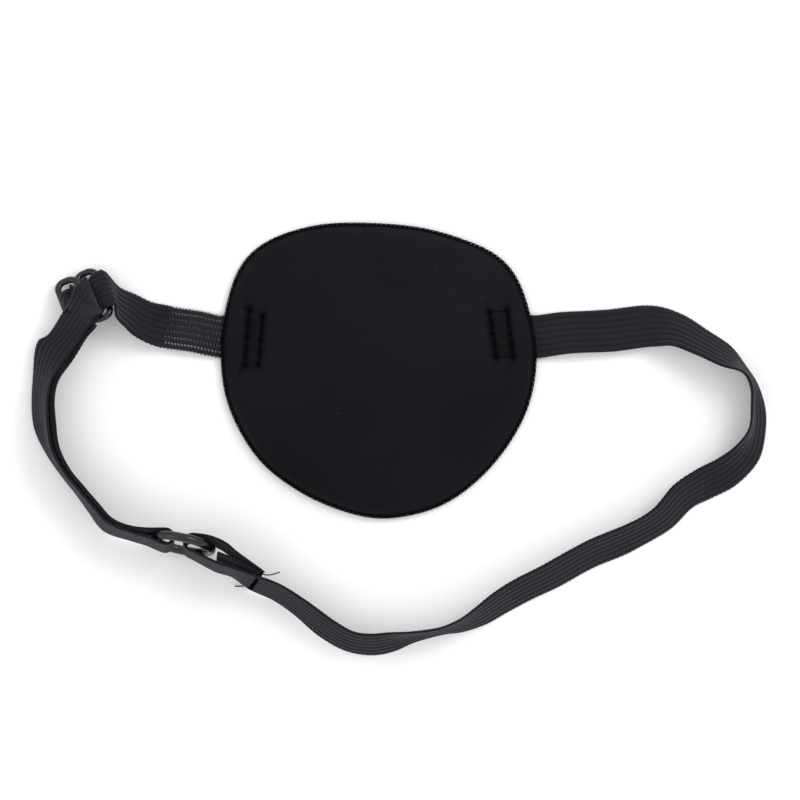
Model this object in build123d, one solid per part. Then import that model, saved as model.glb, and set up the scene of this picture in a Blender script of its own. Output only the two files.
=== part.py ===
from build123d import *
import math
import os

# Eye patch: a moulded oval pad with one adjustable elastic head strap, lying flat on a table, dome up.
# Millimetres. +X to the right, +Y up the pad (towards the brow), +Z up from the table.
# Origin: the middle of the whole lay-out, on the table.

# Pad
PAD_WIDTH = 84.0
PAD_HEIGHT = 78.4
PAD_DEPTH = 12.0
PAD_CENTRE = Vector(-5.1, 18.3, 0)
RIM_LIFT = 0.2

# Layers of the pad: the share of the outline at the rim, and how far the crown is below the front
COVER_FRONT = (0.955, 0.0)
FOAM_FRONT = (0.943, 0.4)
LINING_FRONT = (0.905, 2.5)
LINING_BACK = (0.893, 2.9)

# Overlocked edge: a band with a flat lip under it
EDGE_HEIGHT = 2.4
LIP_SHARE = 0.905
BAND_LEVELS = [(0.99, 0), (1.0, 0.7), (1.0, 1.7), (0.985, EDGE_HEIGHT)]

# Strap: flat braided elastic
STRAP_WIDTH = 11.5
STRAP_THICK = 0.9
STRAP_LIFT = 0.15
LAYER_STEP = 1.0

# Where the strap leaves the pad, through a notch under each side of the rim
SEAM_Y = 27.4
LEFT_SPLIT_X = -47.4
RIGHT_SPLIT_X = 37.3
SPLIT_GAP = 0.1
NOTCH_CLEARANCE = 0.3
NOTCH_DEPTH = 14.0

# The sewn ends on the eye side: how far in from the rim, and how far up the hollow
TAB_SLOPE = [(1.0, 0.0), (5.0, 0.0), (6.8, 0.65), (9.0, 1.6), (11.5, 2.4)]

# Box stitches that hold the strap ends to the pad
STITCH_HEIGHT = 13.4
STITCH_WIDTH = 5.0
STITCH_THREAD = 0.7
LEFT_STITCH_INSET = 7.4
RIGHT_STITCH_INSET = 8.8
STITCH_FRONT = (0.961, -0.25)
STITCH_BACK = (0.853, 4.2)

# Slider: a flat figure-of-eight with three bars
SLIDER_LENGTH = 16.6
SLIDER_CORNER = 2.2
SLIDER_BAR = 1.8
BAR_PITCH = 5.55
SLIDER_CENTRE = Vector(-83.3, 37.2, 5.6)
SLIDER_BAR_WAY = Vector(0.343, -0.810, 0.470).normalized()
SLIDER_ACROSS = Vector(0.921, 0.390, 0.0).normalized()

# Ring: a plain round moulded ring standing almost upright
RING_RADIUS = 7.9
RING_SECTION = 1.2
RING_LEAN = 76.0
RING_WAY = Vector(0.979, -0.204, 0).normalized()
RING_X = -57.1
RING_Y = -27.6

# Threads
TACK_LENGTH = 1.6
TACK_WIDTH = 9.6
TACK_PROUD = 0.15
TACK_WAY = Vector(0.83, -0.55, 0)
TAIL_RADIUS = 0.2
TAIL_BEND = 2.0
UPPER_TAIL = [(-36.6, -35.4, 10.6), (-34.0, -35.8, 11.2), (-31.2, -35.1, 9.8)]
LOWER_TAIL = [(-39.4, -38.6, 1.2), (-41.4, -39.1, 0.5), (-43.4, -39.1, 0.4)]

# Outline of the pad as shares of its half width and half height, clockwise from the brow
OUTLINE = [
    (0.00, 1.00), (0.46, 0.92), (0.81, 0.73), (0.945, 0.45), (1.00, 0.05), (0.93, -0.29),
    (0.73, -0.63), (0.42, -0.90), (0.02, -1.00), (-0.38, -0.885), (-0.73, -0.63), (-0.925, -0.30),
    (-0.995, 0.03), (-0.95, 0.50), (-0.82, 0.785), (-0.49, 0.965),
]

# Section of the dome from rim to crown: share of the rim's size, share of the crown's height
DOME_PROFILE = [
    (1.0, 0.0), (1.0, 0.11), (0.985, 0.22), (0.945, 0.38), (0.875, 0.55), (0.77, 0.72),
    (0.62, 0.86), (0.42, 0.96), (0.19, 1.0),
]

# Runs of the strap on the table: x, y, lean (0 flat, 90 on edge) and lift of the lower edge
SHORT_RUN = [(-54.0, 28.8, 8, 0), (-61.7, 30.0, 9, 0), (-67.6, 32.0, 27, 0)]
DOUBLE_RUN = [
    (-90.6, 23.6, 38, 1.0), (-93.2, 16.6, 58, 0.2), (-94.2, 10.4, 64, 0), (-93.6, 3.6, 68, 0),
    (-91.6, -2.8, 78, 0), (-88.2, -8.6, 82, 0), (-84.4, -13.4, 80, 0), (-80.8, -18.0, 78, 0.4),
    (-77.0, -22.4, 76, 1.2),
]
LONG_RUN = [
    (-37.6, -37.2, 66, 0.4), (-32.0, -40.6, 64, 0), (-26.2, -44.4, 62, 0), (-18.8, -50.2, 60, 0),
    (-12.6, -53.6, 58, 0), (-6.8, -54.4, 58, 0), (-1.6, -53.6, 62, 0), (4.0, -52.2, 74, 0),
    (11.6, -50.6, 80, 0), (17.0, -49.2, 70, 0), (22.0, -46.8, 60, 0), (27.8, -43.0, 56, 0),
    (33.4, -39.8, 52, 0), (40.4, -36.4, 50, 0), (51.2, -30.4, 50, 0), (61.4, -26.0, 50, 0),
    (70.2, -21.0, 50, 0), (76.0, -15.0, 46, 0), (81.4, -11.8, 40, 0), (87.8, -8.4, 40, 0),
    (92.8, -3.4, 48, 0), (95.0, 2.6, 66, 0), (95.2, 9.6, 70, 0), (94.4, 14.6, 78, 0),
    (92.2, 18.4, 80, 0), (87.2, 22.2, 58, 0), (80.6, 26.0, 50, 0), (74.2, 29.2, 38, 0),
    (67.8, 30.2, 16, 0), (56.4, 29.0, 12, 0), (44.6, 28.4, 12, 0),
]

# The strap twists up from the table to the slider: centre, and direction across
RISE = [
    (Vector(-71.6, 34.3, 4.0), Vector(-0.22, -0.80, 0.56)),
    (Vector(-74.4, 36.4, 5.4), Vector(0.05, -0.82, 0.57)),
]

# Layers of the doubled run, from its middle: the first station is at the slider, the last at the ring
DOUBLE_STACK = 1.0
UNDER_LAYERS = [-1.0] + [-0.7] * 8
OVER_LAYERS = [1.7, 1.1] + [0.7] * 7
END_LAYER = 0.65

# Round the slider's bars, as over, up and shift: the strap goes over the two outer bars and under
# the middle one, and its sewn end turns round the middle bar inside that
WRAP = SLIDER_BAR / 2 + STRAP_THICK / 2 + 0.25
PASS_OUTER = 1.7
PASS_MIDDLE = 2.75
THREADED = [
    (7.3, 1.3, -0.2), (5.55, PASS_OUTER, 0), (4.8, 1.53, 0), (4.19, 1.02, 0), (2.2, -1.64, 0),
    (1.4, -2.37, 0), (0, -PASS_MIDDLE, 0), (-1.4, -2.37, 0), (-2.2, -1.64, 0), (-4.19, 1.02, 0),
    (-4.8, 1.53, 0.2), (-5.7, PASS_OUTER, 0.8), (-7.2, 0.8, 1.9),
]
END_OVER = [(-7.9, 4.0, 2.6), (-5.6, 4.2, 1.4), (-3.2, 3.4, 0.6), (-1.3, 2.1, 0.1), (0, WRAP, 0)]
END_TURN = [30, 60, 90, 120, 150, 180, 210]
END_UNDER = [(-1.27, -0.97, 0), (-3.2, 1.8, 0.2), (-4.3, 2.6, 0.5), (-5.55, 3.0, 1.1), (-7.7, 2.7, 2.4)]
SLIDER_SIDE = (-7.3, 2.0, 2.3)

# Round the ring, as along and out: one loop from each side
LEFT_IN = [(-14.0, -1.5), (-9.5, -2.0)]
LEFT_TURN = (-4.5, 2.0, -90, 90)
LEFT_OUT = [(-9.5, 2.0), (-14.0, 1.5)]
RIGHT_FRONT = [(14.4, 4.6), (10.4, 4.2), (6.4, 3.2)]
RIGHT_TURN = (2.9, 2.2, 90, 270)
RIGHT_BACK = [(6.2, -2.5), (9.0, -2.2), (11.6, -1.4), (14.6, 0.3)]
CUT_END = [(14.0, 2.2), (9.8, 1.4)]
TURN_STEPS = 8
LEFT_SIDE = (-14.0, 0.0)
RIGHT_SIDE = (14.5, 2.0)

UP = Vector(0, 0, 1)
FLAT = Vector(0, -1, 0)
SEAM_Z = STRAP_LIFT + STRAP_THICK / 2
SEAM_LEFT = Vector(LEFT_SPLIT_X, SEAM_Y, SEAM_Z)
SEAM_RIGHT = Vector(RIGHT_SPLIT_X, SEAM_Y, SEAM_Z)
SLIDER_FACE = SLIDER_BAR_WAY.cross(SLIDER_ACROSS).normalized()


def save(name, shape):
    shape.label = name
    export_step(shape, f"parts/{name}.step")


def outline(share, height):
    """The pad's outline, shrunk to a share of its size, as a face at a height."""
    half_width = PAD_WIDTH / 2 * share
    half_height = PAD_HEIGHT / 2 * share
    points = [PAD_CENTRE + Vector(x * half_width, y * half_height, height) for x, y in OUTLINE]
    return Face(Wire([Edge.make_spline(points, periodic=True)]))


def stacked(levels):
    """A solid through the pad's outline at each (share, height)."""
    return Solid.make_loft([outline(share, z).outer_wire() for share, z in levels], ruled=True)


def dome(layer):
    """All that lies under one surface of the pad, given as (rim's share, drop of the crown)."""
    rim_share, drop = layer
    height = PAD_DEPTH - drop - RIM_LIFT
    return stacked([(rim_share * share, RIM_LIFT + height * rise) for share, rise in DOME_PROFILE])


def rim_x(side, inset):
    """x at a distance in from the pad's left (-1) or right (1) side."""
    return PAD_CENTRE.X + side * (PAD_WIDTH / 2 - inset)


def notch(side):
    """The space under the rim where a strap end passes out."""
    width = STRAP_WIDTH + 2 * NOTCH_CLEARANCE
    high = STRAP_THICK + STRAP_LIFT + NOTCH_CLEARANCE
    return Pos(rim_x(side, 0), SEAM_Y, high / 2) * Box(NOTCH_DEPTH, width, high)


def edge_band():
    """Overlock stitching round the rim: a band with a flat lip under it."""
    above = extrude(outline(COVER_FRONT[0], RIM_LIFT), EDGE_HEIGHT, dir=UP)
    hollow = extrude(outline(LIP_SHARE, 0), EDGE_HEIGHT, dir=UP)
    return stacked(BAND_LEVELS) - above - hollow


def box_stitch(side, inset):
    """A rectangle of lock stitches through the pad and the strap end."""
    frame = Box(STITCH_WIDTH, STITCH_HEIGHT, 2 * PAD_DEPTH)
    frame -= Box(STITCH_WIDTH - 2 * STITCH_THREAD, STITCH_HEIGHT - 2 * STITCH_THREAD, 2 * PAD_DEPTH)
    place = Pos(rim_x(side, inset), SEAM_Y, PAD_DEPTH / 2)
    return (place * frame) & dome(STITCH_FRONT) - dome(STITCH_BACK)


def ribbon(stations, first=0, last=None):
    """A flat strip through stations, each a centre and the direction across the strip.

    first and last pick a stretch of a longer strip, whose cut faces then match its neighbours'."""
    last = len(stations) - 1 if last is None else last
    sections = []
    for i in range(first, last + 1):
        centre, across = stations[i]
        before = stations[max(i - 1, 0)][0]
        after = stations[min(i + 1, len(stations) - 1)][0]
        half = across.normalized() * (STRAP_WIDTH / 2)
        rise = (after - before).cross(across).normalized() * (STRAP_THICK / 2)
        corners = [centre - half - rise, centre + half - rise, centre + half + rise, centre - half + rise]
        sections.append(Wire.make_polygon(corners, close=True))
    return Solid.make_loft(sections, ruled=True)


def strap_tab(side):
    """The sewn end of the strap: in through the notch, and up along the eye side of the pad."""
    seam = SEAM_LEFT if side < 0 else SEAM_RIGHT
    slope = [Vector(rim_x(side, inset), SEAM_Y, SEAM_Z + rise) for inset, rise in TAB_SLOPE]
    return ribbon([(centre, FLAT) for centre in [seam - Vector(side * SPLIT_GAP, 0, 0)] + slope])


def lying(route, before, after, layers=0.0, stack=0.0):
    """Stations of a strip that lies on the table and leans on its outer edge.

    The loop runs anticlockwise, so its inside is on the left of the way. before and after are the
    points beyond the route's ends. A layer moves the strip along its own face, and stack is how
    far the layers reach downwards."""
    chain = [before] + [Vector(x, y, 0) for x, y, lean, lift in route] + [after]
    steps = layers if isinstance(layers, list) else [layers] * len(route)
    stations = []
    for i, (x, y, lean, lift) in enumerate(route):
        way = chain[i + 2] - chain[i]
        way = Vector(way.X, way.Y, 0).normalized()
        inside = Vector(-way.Y, way.X, 0)
        sine = math.sin(math.radians(lean))
        cosine = math.cos(math.radians(lean))
        across = inside * cosine + UP * sine
        height = STRAP_WIDTH / 2 * sine + (STRAP_THICK / 2 + stack) * cosine + lift
        stations.append((Vector(x, y, height) + way.cross(across) * steps[i], across))
    return stations


def at_slider(points):
    """Stations from (over, up, shift) in the slider's own directions: over from the middle bar
    towards the pad, up off its face, and shift along the bars."""
    return [
        (SLIDER_CENTRE + SLIDER_ACROSS * over + SLIDER_FACE * up + SLIDER_BAR_WAY * shift, SLIDER_BAR_WAY)
        for over, up, shift in points
    ]


RING_INSIDE = Vector(-RING_WAY.Y, RING_WAY.X, 0)
RING_RISE = math.sin(math.radians(RING_LEAN))
RING_UP = RING_INSIDE * math.cos(math.radians(RING_LEAN)) + UP * RING_RISE
RING_AXIS = RING_WAY.cross(RING_UP).normalized()
RING_CENTRE = Vector(RING_X, RING_Y, RING_RADIUS * RING_RISE + RING_SECTION)


def at_ring(points):
    """Stations from (along, out) in the ring's own directions, across the strap up the ring."""
    return [(RING_CENTRE + RING_WAY * along + RING_AXIS * out, RING_UP) for along, out in points]


def turned(centre, radius, start, end):
    """Points of an arc round the ring, between two angles."""
    angles = [math.radians(start + (end - start) * i / TURN_STEPS) for i in range(TURN_STEPS + 1)]
    return [(centre + radius * math.cos(angle), radius * math.sin(angle)) for angle in angles]


BESIDE_SLIDER = at_slider([SLIDER_SIDE])[0][0]
BESIDE_RING = at_ring([LEFT_SIDE])[0][0]
BEYOND_RING = at_ring([RIGHT_SIDE])[0][0]


def double_run(layers):
    """The doubled run from the slider to the ring, as one of its layers."""
    return lying(DOUBLE_RUN, BESIDE_SLIDER, BESIDE_RING, layers, DOUBLE_STACK)


def seam_layer(layer):
    """One layer of the seam by the ring, where the right strap is sewn back on itself."""
    return lying(LONG_RUN[:1], BEYOND_RING, Vector(*LONG_RUN[1][:2], 0), layer, LAYER_STEP)[0]


# The left strap is one length of elastic: from the pad, through the slider, down to the ring and
# round it, back up on top of itself, and over and round the slider's middle bar.
SHORT = [(SEAM_LEFT, FLAT)] + lying(SHORT_RUN, SEAM_LEFT, RISE[0][0])
DOWN = RISE + at_slider(THREADED) + double_run(UNDER_LAYERS)
BACK = at_ring(LEFT_IN + turned(*LEFT_TURN) + LEFT_OUT) + double_run(OVER_LAYERS)[::-1]
END_ROUND = [(WRAP * math.sin(math.radians(a)), WRAP * math.cos(math.radians(a)), 0) for a in END_TURN]
END_STOP = lying(DOUBLE_RUN[:1], BESIDE_SLIDER, Vector(*DOUBLE_RUN[1][:2], 0), END_LAYER, DOUBLE_STACK)
LEFT_STRAP = SHORT + DOWN + BACK + at_slider(END_OVER + END_ROUND + END_UNDER) + END_STOP
SHORT_END = 2
SEWN_START = len(SHORT + DOWN + BACK) - 1

# The right strap: from the pad round to the seam by the ring, round the ring, back to the seam, and
# its cut end turned under between the two layers.
LONG = [seam_layer(LAYER_STEP)] + lying(LONG_RUN, BEYOND_RING, SEAM_RIGHT)[1:]
RING_LOOP = at_ring(RIGHT_FRONT + turned(*RIGHT_TURN) + RIGHT_BACK)
RIGHT_STRAP = [(SEAM_RIGHT, FLAT)] + LONG[::-1] + RING_LOOP + [seam_layer(-LAYER_STEP)]
TURNED_UNDER = [seam_layer(0)] + at_ring(CUT_END)
SEAM_START = len(LONG)


def slider():
    """Two rounded loops of round bar side by side, with the middle bar in common."""
    loop_outline = RectangleRounded(SLIDER_LENGTH - SLIDER_BAR, BAR_PITCH, SLIDER_CORNER)
    halves = []
    for side in (-1, 1):
        path = (Pos(0, side * BAR_PITCH / 2) * loop_outline).wire()
        loop = sweep((path ^ 0) * Circle(SLIDER_BAR / 2), path=path)
        own_side = Pos(0, side * SLIDER_LENGTH) * Box(2 * SLIDER_LENGTH, 2 * SLIDER_LENGTH, SLIDER_LENGTH)
        halves.append(loop & own_side)
    place = Plane(origin=SLIDER_CENTRE, x_dir=SLIDER_BAR_WAY, z_dir=SLIDER_FACE)
    return place.location * (halves[0] + halves[1])


def ring():
    """A plain torus in the ring's place."""
    place = Plane(origin=RING_CENTRE, x_dir=RING_WAY, z_dir=RING_AXIS)
    return place.location * Torus(RING_RADIUS, RING_SECTION)


def tack(station, way, layers):
    """A bar of close stitches across a strap, through a number of layers."""
    centre, across = station
    place = Plane(origin=centre, x_dir=across, z_dir=way.cross(across).normalized())
    return place.location * Box(TACK_WIDTH, TACK_LENGTH, layers * LAYER_STEP + 2 * TACK_PROUD)


def slider_seam():
    """Where the strap's end is sewn back on itself, and the way the strap runs there."""
    over, across = LEFT_STRAP[SEWN_START]
    way = (over - LEFT_STRAP[SEWN_START + 1][0]).normalized()
    middle = (over + END_STOP[0][0]) * 0.5 - way * TACK_LENGTH
    return (middle, across), way


def thread_tail(points):
    """A loose end of sewing thread."""
    path = FilletPolyline(*points, radius=TAIL_BEND)
    return sweep((path ^ 0) * Circle(TAIL_RADIUS), path=path)


os.makedirs("parts", exist_ok=True)
notches = notch(-1) + notch(1)
foam_space = dome(FOAM_FRONT)
lining_space = dome(LINING_FRONT)
save("outer_cover", dome(COVER_FRONT) - foam_space - notches)
save("foam_core", foam_space - lining_space - notches)
save("inner_lining", lining_space - dome(LINING_BACK) - notches)
save("edge_overlock", edge_band() - notches)
save("left_strap_tab", strap_tab(-1))
save("right_strap_tab", strap_tab(1))
save("left_box_stitch", box_stitch(-1, LEFT_STITCH_INSET))
save("right_box_stitch", box_stitch(1, RIGHT_STITCH_INSET))
save("left_strap_short", ribbon(LEFT_STRAP, 0, SHORT_END))
save("left_strap_adjusting", ribbon(LEFT_STRAP, SHORT_END, SEWN_START))
save("slider_end_strap", ribbon(LEFT_STRAP, SEWN_START))
save("right_strap", ribbon(RIGHT_STRAP, 0, SEAM_START))
save("right_strap_loop", ribbon(RIGHT_STRAP, SEAM_START))
save("turned_under_end", ribbon(TURNED_UNDER))
save("strap_slider", slider())
save("strap_ring", ring())
save("ring_end_tack", tack(seam_layer(0), TACK_WAY, 3))
save("slider_end_tack", tack(*slider_seam(), 2))
save("thread_tails", Compound([thread_tail(UPPER_TAIL), thread_tail(LOWER_TAIL)]))
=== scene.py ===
"""Looks of the eye patch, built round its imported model: pad, elastic strap, slider, ring and threads."""

import math

import bpy
import numpy as np
from bpy.props import FloatProperty, FloatVectorProperty, IntProperty, PointerProperty
from mathutils import Matrix, Vector


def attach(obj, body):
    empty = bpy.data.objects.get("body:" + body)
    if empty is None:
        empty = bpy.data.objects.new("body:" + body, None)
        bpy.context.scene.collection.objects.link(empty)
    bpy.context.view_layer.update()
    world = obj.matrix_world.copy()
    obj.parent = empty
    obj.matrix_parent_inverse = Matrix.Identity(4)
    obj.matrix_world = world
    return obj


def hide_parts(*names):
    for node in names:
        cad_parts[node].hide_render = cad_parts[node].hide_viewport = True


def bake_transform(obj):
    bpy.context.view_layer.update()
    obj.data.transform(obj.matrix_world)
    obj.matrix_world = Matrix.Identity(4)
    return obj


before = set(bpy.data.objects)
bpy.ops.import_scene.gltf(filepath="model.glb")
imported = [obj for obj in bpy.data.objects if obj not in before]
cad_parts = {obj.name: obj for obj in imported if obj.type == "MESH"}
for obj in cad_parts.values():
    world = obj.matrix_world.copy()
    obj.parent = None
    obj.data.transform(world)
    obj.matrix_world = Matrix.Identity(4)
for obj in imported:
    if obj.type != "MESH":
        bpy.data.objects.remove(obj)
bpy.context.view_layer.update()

bl_info = {
    "name": "Eye Patch",
    "version": (1, 0, 0),
    "blender": (4, 5, 0),
    "location": "3D View > Sidebar > Eye Patch",
    "description": "Builds a moulded eye patch with its elastic head strap",
    "category": "Add Mesh",
}

MM = 0.001
UP = Vector((0, 0, 1))
FLAT = Vector((0, -1, 0))
SEED = 7

# ---- sizes, in millimetres

PAD_CENTRE = (-5.1, 18.3)
PAD_HALF_WIDTH = 42.0
RIM_LIFT = 0.2
SEAM_Y = 27.4
EDGE_HEIGHT = 2.4
NOTCH_HALF = 6.1
NOTCH_HIGH = 1.3
NOTCH_REACH = 8.0
STRAP_HALF_WIDTH = 5.75
STRAP_HALF_THICK = 0.45

# Surfaces of the pad: the rim's share of the outline, and how far the crown is below the front
COVER_FRONT = (0.986, 0.0)
FOAM_FRONT = (0.974, 0.4)
LINING_FRONT = (0.905, 2.5)
LINING_BACK = (0.893, 2.9)

# Outline of the pad as shares of its half width and half height, clockwise from the brow
OUTLINE = [
    (0.00, 1.00), (0.46, 0.92), (0.81, 0.73), (0.945, 0.45), (1.00, 0.05), (0.93, -0.29),
    (0.73, -0.63), (0.42, -0.90), (0.02, -1.00), (-0.38, -0.885), (-0.73, -0.63), (-0.925, -0.30),
    (-0.995, 0.03), (-0.95, 0.50), (-0.82, 0.785), (-0.49, 0.965),
]
DOME_PROFILE = [
    (1.0, 0.0), (1.0, 0.11), (0.985, 0.22), (0.945, 0.38), (0.875, 0.55), (0.77, 0.72),
    (0.62, 0.86), (0.42, 0.96), (0.19, 1.0),
]

# Corners of the two sewn rectangles, from the outer top one round the rectangle
STITCH_BOXES = {
    "left": [(-39.2, 34.7), (-35.7, 32.6), (-36.8, 19.8), (-40.6, 19.5)],
    "right": [(29.0, 34.2), (24.3, 33.8), (26.0, 21.9), (30.5, 21.9)],
}
# Grooves along their sides: first corner, last corner and depth
GROOVES = [(0, 3, 1.6), (1, 2, 1.6), (0, 1, 0.7), (2, 3, 0.8)]
# How much lower the surface under the front is round the sewn rectangles
UNDER_GROOVES = 1.5
# Creases that run out of the sewn rectangles: ends and depth
CREASES = [
    ((-41.2, 19.4), (-43.2, 14.6), 0.45), ((-37.0, 19.8), (-39.3, 16.8), 0.4),
    ((-40.0, 34.5), (-40.2, 37.6), 0.25), ((-36.2, 33.2), (-34.6, 36.0), 0.2),
    ((30.4, 21.9), (29.6, 16.6), 0.45), ((30.8, 21.8), (32.2, 18.8), 0.3),
    ((24.6, 33.9), (23.2, 37.0), 0.2), ((29.2, 34.4), (30.0, 37.4), 0.2),
    ((26.3, 21.9), (25.2, 18.6), 0.25),
]

# Strap routes: x, y, lean (0 flat, 90 on edge) and lift of the lower edge
SEAM_Z = 0.6
SEAM_LEFT = Vector((-47.4, SEAM_Y, SEAM_Z))
SEAM_RIGHT = Vector((37.3, SEAM_Y, SEAM_Z))
TAB_SLOPE = [(11.5, 2.4), (9.0, 1.6), (6.8, 0.65), (5.0, 0.0), (1.0, 0.0)]
SHORT_RUN = [(-54.0, 28.8, 8, 0), (-61.7, 30.0, 9, 0), (-67.6, 32.0, 27, 0)]
DOUBLE_RUN = [
    (-90.6, 23.6, 38, 1.0), (-93.2, 16.6, 58, 0.2), (-94.2, 10.4, 64, 0), (-93.6, 3.6, 68, 0),
    (-91.6, -2.8, 78, 0), (-88.2, -8.6, 82, 0), (-84.4, -13.4, 80, 0), (-80.8, -18.0, 78, 0.4),
    (-77.0, -22.4, 76, 1.2),
]
LONG_RUN = [
    (-37.6, -37.2, 66, 0.4), (-32.0, -40.6, 64, 0), (-26.2, -44.4, 62, 0), (-18.8, -50.2, 60, 0),
    (-12.6, -53.6, 58, 0), (-6.8, -54.4, 58, 0), (-1.6, -53.6, 62, 0), (4.0, -52.2, 74, 0),
    (11.6, -50.6, 80, 0), (17.0, -49.2, 70, 0), (22.0, -46.8, 60, 0), (27.8, -43.0, 56, 0),
    (33.4, -39.8, 52, 0), (40.4, -36.4, 50, 0), (51.2, -30.4, 50, 0), (61.4, -26.0, 50, 0),
    (70.2, -21.0, 50, 0), (76.0, -15.0, 46, 0), (81.4, -11.8, 40, 0), (87.8, -8.4, 40, 0),
    (92.8, -3.4, 48, 0), (95.0, 2.6, 66, 0), (95.2, 9.6, 70, 0), (94.4, 14.6, 78, 0),
    (92.2, 18.4, 80, 0), (87.2, 22.2, 58, 0), (80.6, 26.0, 50, 0), (74.2, 29.2, 38, 0),
    (67.8, 30.2, 16, 0), (56.4, 29.0, 12, 0), (44.6, 28.4, 12, 0),
]
RISE = [
    (Vector((-71.0, 34.2, 4.3)), Vector((-0.22, -0.78, 0.58))),
    (Vector((-74.4, 36.6, 6.6)), Vector((0.0, -0.72, 0.69))),
]
# The doubled run's layers: distances from its middle, and what they add to its height
DOUBLE_STACK = 1.0
UNDER_LAYERS = [-1.0] + [-0.7] * 8
OVER_LAYERS = [1.7, 1.1] + [0.7] * 7

# Slider, and the strap round its bars as over, up, shift and turn
SLIDER_CENTRE = Vector((-83.3, 37.2, 5.6))
SLIDER_BAR_WAY = Vector((0.343, -0.810, 0.470)).normalized()
SLIDER_ACROSS = Vector((0.921, 0.390, 0.0)).normalized()
SLIDER_FACE = SLIDER_BAR_WAY.cross(SLIDER_ACROSS).normalized()
THREADED = [
    (7.5, 2.1, 0.9, 0), (5.9, 2.1, 0.5, 0), (4.9, 1.53, 0.1, 0), (4.3, 0.9, 0, 0), (2.5, -1.6, 0, 0),
    (1.5, -2.5, 0, 0), (0, -2.75, 0, 0), (-1.5, -2.5, 0, 0), (-2.5, -1.3, 0.3, 0), (-3.1, 0, 0.7, 0),
    (-3.4, 1.6, 2.0, 12),
]
# The doubled run over its outer bar: place and direction of the width
CROSSING = [
    (Vector((-82.6, 34.6, 10.1)), Vector((0.63, -0.40, 0.66))),
    (Vector((-84.4, 31.6, 10.9)), Vector((0.75, -0.19, 0.63))),
    (Vector((-87.4, 27.6, 9.2)), Vector((0.79, -0.08, 0.61))),
]
AFTER_CROSSING = Vector((-90.6, 23.6, 6.5))
CROSSING_LAYER = 1.1
END_OVER = [(1.3, 3.8, 2.9, 22), (2.1, 2.9, 1.3, 10), (2.6, 1.8, 0.3, 2)]
END_ROUND = [(2.6, 0.9, 0, 0), (2.2, -0.1, 0, 0), (1.3, -1.15, 0, 0), (0.2, -1.62, 0, 0), (-0.9, -1.3, 0, 0)]
END_UNDER = [(-1.5, 0.2, 0.2, 0), (-1.0, 2.0, 1.2, 10)]
SLIDER_SIDE = (-3.6, 5.0, 5.5, 30)
SLIDER_VOXEL = 0.13

# Ring, and the strap round it as along and out
RING_RADIUS = 7.9
RING_SECTION = 1.2
RING_LEAN = math.radians(76.0)
RING_WAY = Vector((0.979, -0.204, 0)).normalized()
RING_UP = Vector((-RING_WAY.y, RING_WAY.x, 0)) * math.cos(RING_LEAN) + UP * math.sin(RING_LEAN)
RING_AXIS = RING_WAY.cross(RING_UP).normalized()
RING_CENTRE = Vector((-57.1, -27.6, RING_RADIUS * math.sin(RING_LEAN) + RING_SECTION))
LEFT_IN = [(-14.0, -0.7), (-9.5, -1.1)]
LEFT_TURN = (-4.5, 2.0, -90, 90)
LEFT_OUT = [(-9.5, 1.1), (-14.0, 0.7)]
RIGHT_FRONT = [(14.4, 4.6), (10.4, 4.2), (6.4, 3.2)]
RIGHT_TURN = (2.9, 2.2, 90, 270)
RIGHT_BACK = [(6.2, -2.5), (9.0, -2.2), (11.6, -1.4), (14.6, 0.3)]
CUT_END = [(14.0, 2.2), (9.8, 1.4)]
LEFT_SIDE = (-14.0, 0.0)
RIGHT_SIDE = (14.5, 2.0)
TURN_STEPS = 8

LAYER_STEP = 1.0
TACK_WAY = Vector((0.83, -0.55, 0)).normalized()
UPPER_TAIL = [(-36.6, -35.4, 10.6), (-34.0, -35.8, 11.2), (-31.2, -35.1, 9.8)]
LOWER_TAIL = [(-39.4, -38.6, 1.2), (-41.4, -39.1, 0.5), (-43.4, -39.1, 0.4)]

# Where the elastic arches along its length: x, y, reach and height
ARCHES = [(95.2, 6.0, 11.0, 1.5), (-92.5, 2.0, 9.0, 0.8), (8.0, -51.5, 12.0, 0.8), (60.0, -26.5, 14.0, 0.4)]

# Edge: the lip's section as shares of the outline and heights, an overlock stitch as shares of the
# pitch, distances in and heights, and the two loopers as distance in, height and sway
LIP_SECTION = [
    (0.905, 0.0), (0.985, 0.0), (0.992, 0.15), (0.996, 0.5), (0.997, 1.0), (0.994, 1.4), (0.988, 1.6),
    (0.9865, 1.5), (0.9865, 0.9), (0.9865, 0.3), (0.905, 0.19),
]
STITCH_PATH = [
    (-0.30, 0.95, 2.5), (-0.25, 0.62, 2.25), (-0.15, 0.3, 1.9), (0.0, 0.06, 1.5), (0.1, -0.04, 1.0),
    (0.25, 0.02, 0.5), (0.35, 0.4, 0.2), (0.4, 1.2, 0.17),
]
LOOPERS = [(0.66, 2.3, 0.10), (-0.02, 1.1, 0.08)]

# Threads: radii, and the length of a lock stitch
OVERLOCK_RADIUS = 0.15
LOOPER_RADIUS = 0.14
FRONT_STITCH_RADIUS = 0.19
BACK_STITCH_RADIUS = 0.17
TACK_RADIUS = 0.17
TACK_EDGE_RADIUS = 0.16
TAIL_RADIUS = 0.16
STITCH_LENGTH = 1.75

# Bar tacks: passes of the thread, length across the strap and sway along it
TACK_PASSES = 13
TACK_LENGTH = 9.4
TACK_SWAY = 0.7

# How finely the pad's layers are made: points round, and steps of the outer and inner surface
COVER_MESH = (440, 0.4, 2.0)
FOAM_MESH = (160, 1.2, 1.2)
LINING_MESH = (240, 1.0, 0.6)
EDGE_AROUND = 420

# Where the short strap is pulled open: x of the middle, reach and the pad's side
OPEN_MIDDLE = -53.0
OPEN_REACH = 7.5
OPEN_LIMIT = -44

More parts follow.
